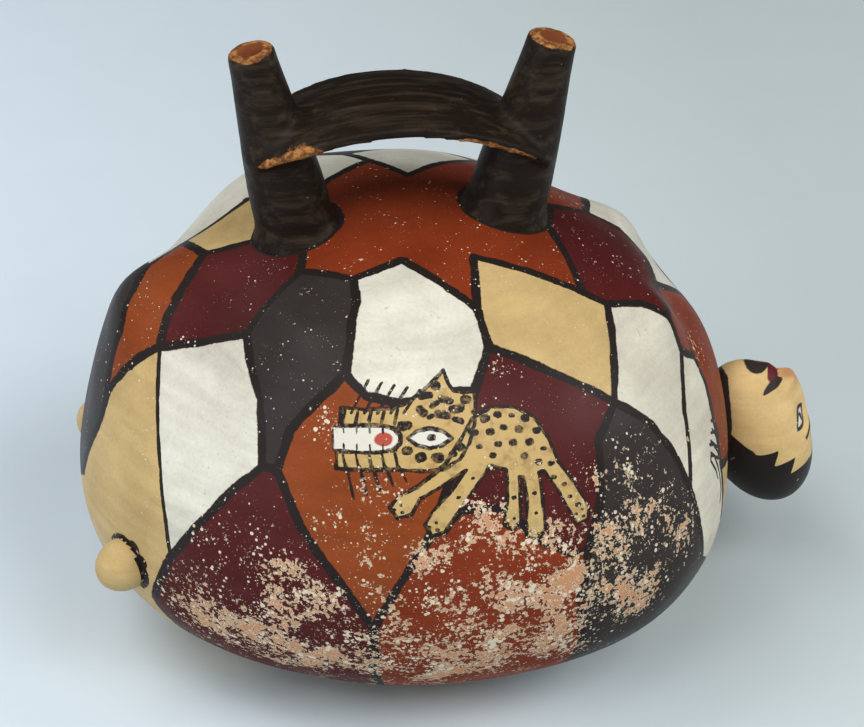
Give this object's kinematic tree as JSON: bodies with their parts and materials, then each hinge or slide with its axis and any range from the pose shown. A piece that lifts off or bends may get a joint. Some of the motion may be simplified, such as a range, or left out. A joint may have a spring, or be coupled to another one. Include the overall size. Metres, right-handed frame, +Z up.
{
  "type": "double spout bottle",
  "caption": "Rounded painted pottery bottle in the form of a reclining figure, with leaning spouts joined by a strap bridge, a small head and small feet.",
  "frame": {"origin": "centre of the flat spot on the underside, which the bottle rests on", "axes": "+X along the figure from the feet to the head, +Y to the far side of the figure, +Z up towards the spouts"},
  "size_m": [0.2442, 0.1994, 0.212],
  "materials": {
    "painted_clay": "burnished slip paint over fired clay, worn to the clay in places"
  },
  "bodies": {
    "root": {"bottle": "painted_clay"}
  },
  "joints": []
}
